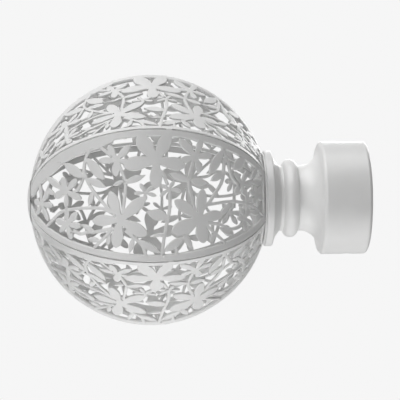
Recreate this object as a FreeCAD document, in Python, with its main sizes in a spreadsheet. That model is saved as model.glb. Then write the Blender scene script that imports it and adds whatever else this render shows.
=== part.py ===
"""Curtain pole finial: a ball of six pierced and bent sheet panels on a turned neck and socket.

Millimetres. The pole axis is X and the origin is the middle of the socket's mouth, so the pole
comes in from +X and the ball lies at -X. Z is up and one panel faces -Y.
"""
import math
import os

import FreeCAD, Part
import Sketcher
from FreeCAD import Placement, Rotation, Vector

doc = FreeCAD.newDocument("pole_finial")

# Driving sizes
sheet = doc.addObject("Spreadsheet::Sheet", "Sizes")
SIZES = [
    ("ball_corner_diameter", 80.0, "across opposite seams of the six-sided ball"),
    ("ball_length", 76.5, "along the pole axis, pole to pole of the panels' curve"),
    ("end_bend_radius", 33.0, "of a panel's bend near the tip and the neck"),
    ("panel_count", 6, "panels round the ball"),
    ("sheet_thickness", 0.75, "of each pierced panel"),
    ("band_width", 2.1, "plain rim down each long edge of a panel"),
    ("seam_gap", 0.4, "between neighbouring rims"),
    ("tack_length", 1.8, "stretch of each seam that is closed by a tack"),
    ("tack_offset", 5.0, "from the ball's middle to the tack, toward the neck"),
    ("neck_end_collar", 1.3, "plain strip across a panel's neck end"),
    ("tip_hole_radius", 3.2, "of the hole that the panel tips leave, to their flats"),
    ("tip_head_radius", 6.5, "of the domed tip button"),
    ("tip_dome_height", 0.95, "of the button's dome above its edge"),
    ("tip_edge_height", 0.15, "of the button's edge"),
    ("tip_shank_length", 2.2, "inside the ball"),
    ("fit_clearance", 0.2, "round a piece that sits in a hole"),
    ("ball_centre_distance", 68.8, "from the socket's mouth"),
    ("collar_distance", 33.2, "from the mouth to the face that the panels end on"),
    ("spigot_length", 2.5, "of the neck's spigot inside the ball"),
    ("collar_radius", 14.4, "narrow collar between panels and flange"),
    ("collar_width", 0.5, "of that collar"),
    ("flange_radius", 15.25, "of the flange that closes the ball"),
    ("flange_width", 1.7, "of the flange's rounded rim"),
    ("flange_rim_radius", 0.65, "rounding of that rim"),
    ("neck_radius", 10.4, "at both waists"),
    ("flange_taper", 2.5, "length of the hollow taper behind the flange"),
    ("flange_cove_radius", 9.5, "of that taper's hollow"),
    ("bead_distance", 24.95, "from the mouth to the bead's crest"),
    ("bead_radius", 12.45, "of the bead's crest"),
    ("bead_width", 4.8, "of the bead at the waist"),
    ("cove_radius", 5.9, "of the cove that opens out to the cup"),
    ("cup_radius", 18.0, "outside of the socket"),
    ("cup_length", 16.2, "from the mouth to the step under the shoulder"),
    ("shoulder_radius", 1.6, "rounding behind the cup"),
    ("rim_radius", 1.2, "rounding at the mouth"),
    ("pole_diameter", 28.0, "of the pole that the socket takes"),
    ("pole_clearance", 0.3, "round the pole"),
    ("socket_depth", 13.5, "of the bore"),
    ("mouth_chamfer", 0.5, "at the bore's mouth"),
    ("grub_distance", 6.5, "from the mouth to the grub screw"),
    ("grub_diameter", 4.0, "of the grub screw"),
    ("grub_clearance", 0.05, "round the grub screw"),
    ("grub_recess", 0.15, "of both ends of the screw inside the wall"),
    ("grub_key", 2.0, "across the flats of its hexagon socket"),
    ("grub_key_depth", 1.6, "of that socket"),
]
for row, (alias, value, note) in enumerate(SIZES, start=1):
    sheet.set("A%d" % row, alias)
    sheet.set("B%d" % row, str(value))
    sheet.setAlias("B%d" % row, alias)
    sheet.set("C%d" % row, note)
doc.recompute()


def size(alias):
    return float(sheet.get(alias))


def value_of(expression):
    """The number that an expression on the sheet's cells gives."""
    result = sheet.evalExpression(expression)
    return float(getattr(result, "Value", result))


# Profiles that are turned about the pole axis
def turned_body(name, corners):
    """A body turned about X from a closed profile.

    corners is a list of (x expression, radius expression, edge to the next corner), where the
    edge is None for a straight one or (arc radius expression, +1 for hollow or -1 for round).
    """
    body = doc.addObject("PartDesign::Body", name)
    body.Label = name
    plane = next(f for f in body.Origin.OriginFeatures if f.Role == "XY_Plane")
    sketch = body.newObject("Sketcher::SketchObject", name + "_profile")
    sketch.AttachmentSupport = (plane, "")
    sketch.MapMode = "FlatFace"
    points = [Vector(value_of(x), value_of(r), 0) for x, r, _ in corners]
    count = len(corners)
    for i, (_, _, arc) in enumerate(corners):
        start, end = points[i], points[(i + 1) % count]
        if arc is None:
            sketch.addGeometry(Part.LineSegment(start, end), False)
            continue
        radius = value_of(arc[0])
        chord = end - start
        side = Vector(chord.y, -chord.x, 0).normalize() * arc[1]
        centre = (start + end) * 0.5 - side * math.sqrt(max(radius ** 2 - (chord.Length / 2) ** 2, 0.0))
        angles = [math.atan2(point.y - centre.y, point.x - centre.x) for point in (start, end)]
        if (angles[1] - angles[0]) % (2 * math.pi) > math.pi:
            angles.reverse()
        circle = Part.Circle(centre, Vector(0, 0, 1), radius)
        sketch.addGeometry(Part.ArcOfCircle(circle, angles[0], angles[1]), False)
    ends = []
    for i in range(count):
        # an arc may come back with its ends swapped
        curve = sketch.Geometry[i]
        forward = (curve.StartPoint - points[i]).Length < (curve.EndPoint - points[i]).Length
        ends.append((1, 2) if forward else (2, 1))
    for i in range(count):
        after = (i + 1) % count
        sketch.addConstraint(Sketcher.Constraint("Coincident", i, ends[i][1], after, ends[after][0]))
    for i, (x, r, arc) in enumerate(corners):
        at = ends[i][0]
        for axis, expression, line in (("DistanceX", x, -2), ("DistanceY", r, -1)):
            if expression == "0":
                sketch.addConstraint(Sketcher.Constraint("PointOnObject", i, at, line))
                continue
            number = value_of(expression)
            index = sketch.addConstraint(Sketcher.Constraint(axis, -1, 1, i, at, number))
            label = "%s_%d" % (axis[-1].lower(), i)
            sketch.renameConstraint(index, label)
            sketch.setExpression("Constraints." + label, expression)
        if arc is not None:
            index = sketch.addConstraint(Sketcher.Constraint("Radius", i, value_of(arc[0])))
            sketch.renameConstraint(index, "arc_%d" % i)
            sketch.setExpression("Constraints.arc_%d" % i, arc[0])
    turn = body.newObject("PartDesign::Revolution", name + "_turned")
    turn.Profile = sketch
    turn.ReferenceAxis = (sketch, ["H_Axis"])
    turn.Angle = 360
    doc.recompute()
    return body


HOLLOW, ROUND = 1, -1

# Neck and socket: one turning, from the spigot inside the ball to the mouth
COLLAR_X = "-Sizes.collar_distance"
FLANGE_X = "(-Sizes.collar_distance + Sizes.collar_width)"
FLANGE_BACK_X = "(-Sizes.collar_distance + Sizes.collar_width + Sizes.flange_width)"
END_CENTRE = "(Sizes.ball_length / 2 - Sizes.end_bend_radius)"
PANEL_END = "(Sizes.ball_centre_distance - Sizes.collar_distance)"
SPIGOT_RADIUS = ("(sqrt((Sizes.end_bend_radius - Sizes.sheet_thickness) ^ 2 - (%s - %s) ^ 2)"
                 " - Sizes.fit_clearance)" % (PANEL_END, END_CENTRE))
FLANGE_SIDE = "(Sizes.flange_radius - Sizes.flange_rim_radius)"
BEAD_ARC = ("(((Sizes.bead_width / 2) ^ 2 + (Sizes.bead_radius - Sizes.neck_radius) ^ 2)"
            " / (2 * (Sizes.bead_radius - Sizes.neck_radius)))")
BORE_RADIUS = "(Sizes.pole_diameter / 2 + Sizes.pole_clearance)"

neck = turned_body("neck_socket", [
    (COLLAR_X + " - Sizes.spigot_length", "0", None),
    (COLLAR_X + " - Sizes.spigot_length", SPIGOT_RADIUS, None),
    (COLLAR_X, SPIGOT_RADIUS, None),
    (COLLAR_X, "Sizes.collar_radius", None),
    (FLANGE_X, "Sizes.collar_radius", None),
    (FLANGE_X, FLANGE_SIDE, ("Sizes.flange_rim_radius", ROUND)),
    (FLANGE_X + " + Sizes.flange_rim_radius", "Sizes.flange_radius", None),
    (FLANGE_BACK_X + " - Sizes.flange_rim_radius", "Sizes.flange_radius",
     ("Sizes.flange_rim_radius", ROUND)),
    (FLANGE_BACK_X, FLANGE_SIDE, ("Sizes.flange_cove_radius", HOLLOW)),
    (FLANGE_BACK_X + " + Sizes.flange_taper", "Sizes.neck_radius", None),
    ("-Sizes.bead_distance - Sizes.bead_width / 2", "Sizes.neck_radius", (BEAD_ARC, ROUND)),
    ("-Sizes.bead_distance + Sizes.bead_width / 2", "Sizes.neck_radius", None),
    ("-Sizes.cup_length - Sizes.cove_radius", "Sizes.neck_radius", ("Sizes.cove_radius", HOLLOW)),
    ("-Sizes.cup_length", "Sizes.neck_radius + Sizes.cove_radius", None),
    ("-Sizes.cup_length", "Sizes.cup_radius - Sizes.shoulder_radius",
     ("Sizes.shoulder_radius", ROUND)),
    ("-Sizes.cup_length + Sizes.shoulder_radius", "Sizes.cup_radius", None),
    ("-Sizes.rim_radius", "Sizes.cup_radius", ("Sizes.rim_radius", ROUND)),
    ("0", "Sizes.cup_radius - Sizes.rim_radius", None),
    ("0", BORE_RADIUS + " + Sizes.mouth_chamfer", None),
    ("-Sizes.mouth_chamfer", BORE_RADIUS, None),
    ("-Sizes.socket_depth", BORE_RADIUS, None),
    ("-Sizes.socket_depth", "0", None),
])

# Radial hole for the grub screw, through the wall at the bottom
neck_plane = next(f for f in neck.Origin.OriginFeatures if f.Role == "XY_Plane")
hole_sketch = neck.newObject("Sketcher::SketchObject", "grub_hole_circle")
hole_sketch.AttachmentSupport = (neck_plane, "")
hole_sketch.MapMode = "FlatFace"
hole_sketch.addGeometry(
    Part.Circle(Vector(-size("grub_distance"), 0, 0), Vector(0, 0, 1), size("grub_diameter") / 2), False)
hole_sketch.addConstraint(Sketcher.Constraint("PointOnObject", 0, 3, -1))
centre = hole_sketch.addConstraint(
    Sketcher.Constraint("DistanceX", -1, 1, 0, 3, -size("grub_distance")))
hole_sketch.renameConstraint(centre, "from_mouth")
hole_sketch.setExpression("Constraints.from_mouth", "-Sizes.grub_distance")
width = hole_sketch.addConstraint(Sketcher.Constraint("Diameter", 0, size("grub_diameter")))
hole_sketch.renameConstraint(width, "width")
hole_sketch.setExpression("Constraints.width", "Sizes.grub_diameter + 2 * Sizes.grub_clearance")
doc.recompute()
volume_before = neck.Shape.Volume
grub_hole = neck.newObject("PartDesign::Pocket", "grub_hole")
grub_hole.Profile = hole_sketch
grub_hole.Type = "Length"
grub_hole.setExpression("Length", "Sizes.cup_radius + 1")
doc.recompute()
if abs(neck.Shape.Volume - volume_before) < 1:
    raise RuntimeError("the grub screw's hole removed nothing")

# Grub screw with a hexagon socket, inside the wall at both ends
screw_blank = doc.addObject("Part::Cylinder", "grub_screw_blank")
screw_blank.setExpression("Radius", "Sizes.grub_diameter / 2")
screw_blank.setExpression(
    "Height", "Sizes.cup_radius - Sizes.pole_diameter / 2 - Sizes.pole_clearance - 2 * Sizes.grub_recess")
screw_key = doc.addObject("Part::Prism", "grub_screw_key")
screw_key.Polygon = 6
screw_key.setExpression("Circumradius", "Sizes.grub_key / 2 / cos(30deg)")
screw_key.setExpression("Height", "Sizes.grub_key_depth + 1")
for piece, lift in ((screw_blank, ""), (screw_key, " - 1")):
    piece.setExpression("Placement.Base.x", "-Sizes.grub_distance")
    piece.setExpression("Placement.Base.z", "-Sizes.cup_radius + Sizes.grub_recess" + lift)
grub_screw = doc.addObject("Part::Cut", "grub_screw")
grub_screw.Label = "grub_screw"
grub_screw.Base = screw_blank
grub_screw.Tool = screw_key

# Domed button in the hole that the panel tips leave, hollowed under its head to follow the ball
TIP_SEAT_X = ("(-Sizes.ball_centre_distance - %s"
              " - sqrt(Sizes.end_bend_radius ^ 2 - Sizes.tip_hole_radius ^ 2))" % END_CENTRE)
DOME_ARC = ("((Sizes.tip_head_radius ^ 2 + Sizes.tip_dome_height ^ 2)"
            " / (2 * Sizes.tip_dome_height))")
CORNER_SHARE = "cos(180deg / Sizes.panel_count)"
UNDER_ARC = "(Sizes.end_bend_radius / %s ^ 2)" % CORNER_SHARE
EDGE_X = ("(-Sizes.ball_centre_distance - Sizes.ball_length / 2 + %s"
          " - sqrt(%s ^ 2 - Sizes.tip_head_radius ^ 2))" % (UNDER_ARC, UNDER_ARC))
SHANK_RADIUS = "Sizes.tip_hole_radius - Sizes.fit_clearance"
tip_button = turned_body("tip_button", [
    (TIP_SEAT_X + " + Sizes.tip_shank_length", "0", None),
    (EDGE_X + " - Sizes.tip_edge_height - Sizes.tip_dome_height", "0", (DOME_ARC, ROUND)),
    (EDGE_X + " - Sizes.tip_edge_height", "Sizes.tip_head_radius", None),
    (EDGE_X, "Sizes.tip_head_radius", (UNDER_ARC, HOLLOW)),
    (TIP_SEAT_X, "Sizes.tip_hole_radius / " + CORNER_SHARE, None),
    (TIP_SEAT_X, SHANK_RADIUS, None),
    (TIP_SEAT_X + " + Sizes.tip_shank_length", SHANK_RADIUS, None),
])

# Pierced panels. A pattern place is (s, t) in millimetres on the 80 mm ball: s runs along the
# panel from its middle toward the neck, t runs across it, and the pattern grows with the ball.
PATTERN_LENGTH = 76.5
PATTERN_CORNERS = 80.0
PATTERN_END_BEND = 33.0

# centre, then the tip of each petal with the petal's width
FLOWERS = [
    ((0.9, 10.6), [(-4.3, 18.0, 4.7), (5.0, 18.6, 4.1), (9.8, 8.9, 4.0), (0.8, 2.3, 3.9), (-8.9, 9.2, 4.4)]),
    ((-10.3, -7.2), [(-13.1, 1.3, 3.5), (-2.5, -0.7, 3.8), (-2.1, -11.8, 3.8), (-11.5, -15.4, 3.8),
                     (-18.8, -7.3, 3.5)]),
    ((14.2, -7.1), [(15.4, 1.8, 3.3), (6.6, -1.5, 3.6), (5.6, -11.1, 4.2), (15.4, -14.3, 4.1),
                    (21.8, -5.6, 3.3)]),
    ((-11.2, 10.9), [(-13.4, 15.4, 2.2), (-6.9, 15.0, 2.2), (-16.6, 10.8, 2.0), (-11.3, 6.0, 2.5),
                     (-6.5, 9.7, 1.9)]),
    ((13.2, 11.7), [(8.1, 16.9, 2.5), (15.3, 17.2, 2.1), (18.5, 12.2, 2.2), (14.5, 6.9, 2.1),
                    (8.2, 10.4, 2.1)]),
    ((-28.3, 1.9), [(-37.0, 6.5, 2.2), (-29.9, 6.2, 2.5), (-24.2, 5.5, 2.1), (-22.8, -0.6, 2.2),
                    (-28.3, -3.2, 1.9), (-33.4, 0.5, 2.5)]),
    ((-28.1, -8.1), [(-24.2, -4.7, 2.2), (-23.0, -8.9, 1.9), (-26.4, -12.6, 2.2), (-31.1, -10.3, 1.9),
                     (-32.8, -6.7, 2.2), (-28.2, -2.7, 1.9)]),
    ((-40.5, -1.6), [(-41.7, 4.6, 1.9), (-35.7, 3.1, 2.2), (-34.6, -2.2, 1.9), (-36.7, -6.8, 1.9),
                     (-46.5, -0.4, 1.9), (-44.3, -4.6, 1.9)]),
    ((29.9, 3.6), [(26.9, 7.3, 1.9), (32.8, 7.7, 1.9), (36.0, 4.4, 1.9), (26.9, 0.8, 1.9),
                   (31.4, 0.2, 1.9)]),
    ((31.1, -6.9), [(28.1, -6.9, 1.9), (30.9, -10.7, 1.9), (34.8, -8.9, 1.9), (29.2, -3.4, 1.6),
                    (33.6, -4.1, 1.6)]),
    ((-2.5, 0.9), [(-3.9, 3.7, 1.3), (0.3, 2.8, 1.3), (0.9, -0.1, 1.3), (-5.8, 0.7, 1.3),
                   (-2.4, -1.5, 1.3)]),
    ((4.8, 2.0), [(6.3, 4.3, 1.3), (8.4, 1.2, 1.3), (2.0, -0.2, 1.3), (2.3, 3.1, 1.3)]),
]
# foot, tip and width of each leaf
LEAVES = [
    ((-8.9, 4.6), (-12.2, 3.2), 1.3), ((-8.6, 3.9), (-2.4, 6.1), 2.1), ((-20.6, 11.5), (-14.9, 4.9), 3.4),
    ((-20.6, 5.4), (-14.6, 2.8), 2.4), ((-18.7, 1.6), (-20.1, -2.6), 1.9), ((-21.5, 5.8), (-29.2, 10.5), 3.2),
    ((-13.4, -11.6), (-14.2, -14.8), 1.6), ((-16.8, -13.4), (-20.6, -12.7), 1.6),
    ((-18.6, -10.4), (-22.6, -8.4), 1.5), ((-6.1, -12.6), (-7.4, -17.2), 1.7), ((-4.4, -13.6), (1.7, -17.2), 2.2),
    ((4.4, -6.8), (-2.0, -5.0), 3.4), ((3.7, -11.6), (-1.0, -12.3), 1.1), ((11.0, 4.5), (4.7, 6.5), 2.2),
    ((11.6, 4.4), (16.6, 3.7), 2.6), ((22.3, 13.7), (17.7, 6.3), 3.2), ((22.6, 6.8), (18.2, 4.5), 2.4),
    ((9.2, -11.9), (11.7, -16.0), 2.1), ((19.2, -11.4), (17.7, -14.1), 1.6), ((31.1, 11.5), (26.5, 8.1), 3.5),
    ((21.0, -6.3), (25.2, -2.3), 1.9), ((9.0, -12.7), (3.0, -16.9), 2.5), ((21.0, -9.9), (25.4, -12.0), 1.6),
    ((-33.4, 1.1), (-37.6, 2.9), 1.7), ((34.6, 5.0), (38.6, 9.4), 2.0), ((34.6, 4.2), (41.5, 4.4), 2.0),
]
# the plain margin is wider along the upper edge near the tip, up to this line
WIDE_MARGIN = [(-48.0, 1.2), (-42.6, 4.1), (-39.4, 5.1), (-35.3, 6.9), (-28.9, 10.5), (-24.9, 12.3),
               (-18.0, 14.2), (-12.0, 16.2)]
STEM_WIDTH = 1.0
STEMS = [
    [(-10.7, 10.4), (-8.5, 4.9), (-8.4, 1.8), (-9.3, -5.1)],
    [(-12.0, -5.5), (-16.0, -1.4), (-18.1, 1.1), (-20.1, 3.9), (-21.2, 6.4), (-21.7, 8.8), (-20.9, 11.8),
     (-19.2, 15.1)],
    [(-26.4, 1.2), (-24.0, 2.2), (-22.8, 4.2), (-21.8, 6.6)],
    [(-17.2, 15.8), (-12.6, 12.0)],
    [(13.0, -8.8), (8.6, -13.2)],
    [(-11.7, -5.7), (-14.7, -4.0), (-18.1, -3.4), (-24.9, -3.5), (-30.1, -4.2), (-32.8, -5.6), (-35.2, -7.1),
     (-37.9, -8.7)],
    [(-12.2, -9.5), (-15.0, -12.3), (-18.5, -15.4)],
    [(-12.2, -9.7), (-17.9, -10.7), (-20.3, -10.6), (-23.0, -11.2), (-25.8, -10.1)],
    [(-8.5, -10.3), (-5.4, -13.1), (-3.4, -15.1), (-2.3, -18.6)],
    [(2.2, 7.4), (3.1, 6.3), (4.4, 3.1)],
    [(4.8, 2.3), (5.0, -2.0), (4.6, -5.8), (3.7, -9.6), (2.8, -14.6), (2.3, -19.0)],
    [(12.6, 11.0), (11.0, 5.1), (11.4, 0.8), (12.9, -4.8)],
    [(14.9, -4.5), (17.2, -2.5), (19.5, 0.5), (22.3, 4.8), (23.1, 11.5)],
    [(6.6, -14.2), (6.9, -18.3)],
    [(15.7, -8.3), (19.2, -11.4), (23.3, -14.6)],
    [(15.4, -8.0), (18.0, -8.5), (21.2, -8.8), (24.6, -10.2), (28.5, -9.6), (30.6, -7.8)],
    [(22.2, 15.3), (24.6, 9.5), (25.9, 5.9), (28.5, 3.2)],
    [(17.1, -2.8), (25.2, -1.8), (32.2, -2.3), (35.4, -3.1), (39.5, -4.7), (44.4, -6.6)],
    [(31.7, 2.3), (32.0, -5.4)],
]
# share of the length, and half width as a share of the width, from foot to tip
PETAL_PROFILE = [(0.0, 0.18), (0.32, 0.36), (0.62, 0.5), (0.86, 0.38), (1.0, 0.12)]
LEAF_PROFILE = [(0.0, 0.12), (0.35, 0.45), (0.7, 0.42), (1.0, 0.04)]
HEART_SHARE = 0.17
SMALLEST_OPENING = 0.35
SHORTEST_EDGE = 0.22
WINDOW_STEP = 4.0


class Meridian:
    """The middle line of a bent panel: a wide arc with a tighter arc at each end, all tangent."""

    def __init__(self, half_length, flat_radius, end_bend):
        self.end_bend = end_bend
        self.end_centre = half_length - end_bend
        spare = flat_radius - end_bend
        self.middle_drop = (self.end_centre ** 2 - spare ** 2) / (2 * spare)
        self.middle_bend = flat_radius + self.middle_drop
        self.switch = math.atan2(self.end_centre, self.middle_drop)
        self.middle_run = self.middle_bend * self.switch
        self.full_run = self.middle_run + end_bend * (math.pi / 2 - self.switch)

    def tilt(self, run):
        """Angle of the face's normal from square to the pole axis."""
        if abs(run) <= self.middle_run:
            return run / self.middle_bend
        return math.copysign(self.switch + (abs(run) - self.middle_run) / self.end_bend, run)

    def point(self, run, inset=0.0):
        """x from the ball's middle and distance from the pole axis."""
        tilt = self.tilt(run)
        if abs(run) <= self.middle_run:
            bend = self.middle_bend - inset
            return bend * math.sin(tilt), bend * math.cos(tilt) - self.middle_drop
        bend = self.end_bend - inset
        return math.copysign(self.end_centre, run) + bend * math.sin(tilt), bend * math.cos(tilt)

    def run_at(self, x):
        """The run where the end arc reaches x from the ball's middle."""
        tilt = math.asin((abs(x) - self.end_centre) / self.end_bend)
        return math.copysign(self.middle_run + (tilt - self.switch) * self.end_bend, x)


count = int(size("panel_count"))
half_angle = math.pi / count
corner_radius = size("ball_corner_diameter") / 2
flat_radius = corner_radius * math.cos(half_angle)
half_length = size("ball_length") / 2
sheet_thickness = size("sheet_thickness")
ball_x = -size("ball_centre_distance")
panel_end_x = size("ball_centre_distance") - size("collar_distance")
outer_line = Meridian(half_length, flat_radius, size("end_bend_radius"))
pattern_flat = PATTERN_CORNERS / 2 * math.cos(half_angle)
pattern_line = Meridian(PATTERN_LENGTH / 2, pattern_flat, PATTERN_END_BEND)
grow_along = outer_line.full_run / pattern_line.full_run
grow_across = flat_radius / pattern_flat


def section_face():
    """Section of the bent sheet in its own plane, X along the pole and Z outward."""
    line = outer_line

    def side(inset):
        """Three tangent arcs from the tip to the neck end, each end square to the pole axis."""
        end_bend = line.end_bend - inset
        tip_tilt = math.acos(size("tip_hole_radius") / end_bend)
        neck_tilt = math.asin((panel_end_x - line.end_centre) / end_bend)
        arcs = [(-line.end_centre, 0.0, end_bend, -tip_tilt, -line.switch),
                (0.0, -line.middle_drop, line.middle_bend - inset, -line.switch, line.switch),
                (line.end_centre, 0.0, end_bend, line.switch, neck_tilt)]
        edges, ends = [], []
        for centre_x, centre_z, bend, first, last in arcs:
            ring = [Vector(ball_x + centre_x + bend * math.sin(tilt), 0, centre_z + bend * math.cos(tilt))
                    for tilt in (first, (first + last) / 2, last)]
            edges.append(Part.Arc(*ring).toShape())
            ends.append((ring[0], ring[-1]))
        return edges, ends[0][0], ends[-1][1]
    outer, outer_tip, outer_neck = side(0.0)
    inner, inner_tip, inner_neck = side(sheet_thickness)
    closing = [Part.makeLine(outer_neck, inner_neck), Part.makeLine(outer_tip, inner_tip)]
    return Part.Face(Part.Wire(Part.__sortEdges__(outer + inner + closing)))


def wedge(gap, start_x, end_x):
    """A wedge of the ball's angle about the pole axis, drawn back by half the seam's gap."""
    reach = corner_radius * 1.3
    tangent = math.tan(half_angle)
    foot = gap / 2 / math.sin(half_angle)
    corners = [Vector(start_x, 0, foot), Vector(start_x, (reach - foot) * tangent, reach),
               Vector(start_x, -(reach - foot) * tangent, reach)]
    face = Part.Face(Part.makePolygon(corners + corners[:1]))
    return face.extrude(Vector(end_x - start_x, 0, 0))


def flat_face(points):
    corners = [Vector(s * grow_along, t * grow_across, 0) for s, t in points]
    return Part.Face(Part.makePolygon(corners + corners[:1]))


def outline(foot, tip, width, profile):
    """Closed outline of a petal or leaf from its half widths along the line from foot to tip."""
    length = math.hypot(tip[0] - foot[0], tip[1] - foot[1])
    along = ((tip[0] - foot[0]) / length, (tip[1] - foot[1]) / length)
    across = (-along[1], along[0])

    def place(share, half):
        return (foot[0] + along[0] * length * share + across[0] * half,
                foot[1] + along[1] * length * share + across[1] * half)
    left = [place(share, half * width) for share, half in profile]
    right = [place(share, -half * width) for share, half in reversed(profile)]
    return left + right


def ribbon(points, width):
    """Outline of a stem of one width, with mitred bends."""
    left, right = [], []
    for i, (s, t) in enumerate(points):
        before = points[max(i - 1, 0)]
        after = points[min(i + 1, len(points) - 1)]
        length = math.hypot(after[0] - before[0], after[1] - before[1])
        across = (-(after[1] - before[1]) / length, (after[0] - before[0]) / length)
        left.append((s + across[0] * width / 2, t + across[1] * width / 2))
        right.append((s - across[0] * width / 2, t - across[1] * width / 2))
    return left + right[::-1]


def heart(centre, petals):
    """Middle of a flower, as wide as its petals are at their feet."""
    reach = sum(math.hypot(s - centre[0], t - centre[1]) for s, t, _ in petals) / len(petals)
    radius = reach * HEART_SHARE
    return [(centre[0] + radius * math.cos(math.radians(60 * i)),
             centre[1] + radius * math.sin(math.radians(60 * i))) for i in range(6)]


def window_outline():
    """The part of the flat panel inside its rims, from the tip to the neck end's collar."""
    tangent = math.tan(half_angle)
    band = size("band_width")

    def half_width(run):
        _, radius = outer_line.point(run)
        slope = math.sin(abs(outer_line.tilt(run))) * tangent
        return radius * tangent - band * math.sqrt(1 + slope ** 2)
    end = outer_line.run_at(panel_end_x) - size("neck_end_collar")
    start = -outer_line.full_run
    while half_width(start) < 0:
        start += 0.1
    steps = math.ceil((end - start) / WINDOW_STEP)
    runs = [start + (end - start) * i / steps for i in range(steps + 1)]
    upper = [(run, half_width(run)) for run in runs]
    lower = [(run, -half_width(run)) for run in reversed(runs[1:])]
    return upper[1:] + lower + [(start, 0.0)]


def openings():
    """The holes of the flat panel, each a list of (s, t), once the pattern is left standing."""
    corners = [Vector(s, t, 0) for s, t in window_outline()]
    window = Part.Face(Part.makePolygon(corners + corners[:1]))
    kept = []
    for centre, petals in FLOWERS:
        kept.append(flat_face(heart(centre, petals)))
        kept += [flat_face(outline(centre, (s, t), width, PETAL_PROFILE)) for s, t, width in petals]
    kept += [flat_face(outline(foot, tip, width, LEAF_PROFILE)) for foot, tip, width in LEAVES]
    kept += [flat_face(ribbon(points, STEM_WIDTH)) for points in STEMS]
    kept.append(flat_face(WIDE_MARGIN + [(-12.0, 21.0), (-54.0, 21.0), (-54.0, 0.6)]))
    holes = []
    loose = []
    for face in window.cut(kept).Faces:
        if face.Area < SMALLEST_OPENING:
            continue
        inner = [wire for wire in face.Wires if not wire.isSame(face.OuterWire)]
        loose += [wire.BoundBox.Center for wire in inner]
        points = []
        for vertex in face.OuterWire.OrderedVertexes:
            place = (vertex.X, vertex.Y)
            if not points or math.dist(place, points[-1]) > SHORTEST_EDGE:
                points.append(place)
        if math.dist(points[0], points[-1]) < SHORTEST_EDGE:
            points.pop()
        holes.append(points)
    if loose:
        raise RuntimeError("parts of the pattern hang free at %s" % loose)
    return holes


def opening_prism(points):
    """A straight punch square to the bent sheet in the middle of an opening."""
    runs = [s for s, _ in points]
    middle = (min(runs) + max(runs)) / 2
    origin_x, origin_r = outer_line.point(middle)
    tilt = outer_line.tilt(middle)
    normal = Vector(math.sin(tilt), 0, math.cos(tilt))
    origin = Vector(ball_x + origin_x, 0, origin_r)
    depth = sheet_thickness + (max(runs) - min(runs)) ** 2 / (4 * flat_radius) + 0.5
    corners = []
    for s, t in points:
        x, r = outer_line.point(s)
        place = Vector(ball_x + x, t, r)
        corners.append(place - normal * ((place - origin).dot(normal) + depth))
    face = Part.Face(Part.makePolygon(corners + corners[:1]))
    return face.extrude(normal * (depth + 1.5))


def shape_feature(name, shape):
    feature = doc.addObject("Part::Feature", name)
    feature.Shape = shape
    return feature


strip_section = shape_feature("panel_section", section_face())
strip = doc.addObject("Part::Extrusion", "panel_strip")
strip.Base = strip_section
strip.DirMode = "Custom"
strip.Dir = Vector(0, 1, 0)
strip.Solid = True
strip.setExpression("LengthFwd", "Sizes.ball_corner_diameter / 2")
strip.setExpression("LengthRev", "Sizes.ball_corner_diameter / 2")
tack_x = ball_x + outer_line.point(size("tack_offset"))[0]
tack_half = size("tack_length") / 2
trim = shape_feature("panel_trim", wedge(size("seam_gap"), ball_x - half_length - 1, 0).fuse(
    wedge(0.0, tack_x - tack_half, tack_x + tack_half)))
blank = doc.addObject("Part::Common", "panel_blank")
blank.Base = strip
blank.Tool = trim
punches = shape_feature("panel_openings", Part.makeCompound([opening_prism(p) for p in openings()]))
doc.recompute()
pierced = doc.addObject("Part::Cut", "pierced_panel")
pierced.Base = blank
pierced.Tool = punches
doc.recompute()

# The first panel faces -Y, and the others follow round the pole axis
panels = []
for i in range(count):
    panel = shape_feature("pierced_panel_%d" % (i + 1), pierced.Shape.copy())
    panel.Label = "pierced_panel_%d" % (i + 1)
    panel.Placement = Placement(Vector(0, 0, 0), Rotation(Vector(1, 0, 0), 90 - i * 360.0 / count))
    panels.append(panel)
doc.recompute()

# Export
os.makedirs("parts", exist_ok=True)
for item in doc.Objects:
    if any(word in item.State for word in ("Invalid", "Error")):
        raise RuntimeError("%s did not recompute" % item.Name)
for item in panels + [neck, tip_button, grub_screw]:
    shape = item.Shape
    if shape.isNull() or not shape.isValid() or len(shape.Solids) != 1:
        raise RuntimeError("%s has no single sound solid" % item.Label)
    shape.exportStep("parts/%s.step" % item.Label)
    print("%-18s %9.1f mm3" % (item.Label, shape.Volume))
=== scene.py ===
"""Looks of the curtain pole finial: pierced panels, turned neck, tip button, screw and a plain stage."""

import math

import bmesh
import bpy
from bpy.props import FloatProperty, FloatVectorProperty, IntProperty, PointerProperty
from mathutils import Matrix, Vector
from mathutils.geometry import delaunay_2d_cdt


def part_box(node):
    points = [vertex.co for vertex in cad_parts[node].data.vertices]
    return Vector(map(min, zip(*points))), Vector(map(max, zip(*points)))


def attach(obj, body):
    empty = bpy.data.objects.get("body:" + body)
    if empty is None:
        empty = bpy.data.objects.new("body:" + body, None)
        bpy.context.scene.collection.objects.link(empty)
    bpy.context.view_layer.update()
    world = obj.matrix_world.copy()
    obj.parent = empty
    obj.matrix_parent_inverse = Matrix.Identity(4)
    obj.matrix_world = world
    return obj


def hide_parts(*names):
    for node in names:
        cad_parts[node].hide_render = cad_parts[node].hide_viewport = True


bl_info = {
    "name": "Openwork pole finial",
    "version": (1, 0, 0),
    "blender": (4, 5, 0),
    "location": "View3D > Sidebar > Finial",
    "description": "Dresses the packed finial with its pierced panels, turned neck and paint",
    "category": "Object",
}

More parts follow.
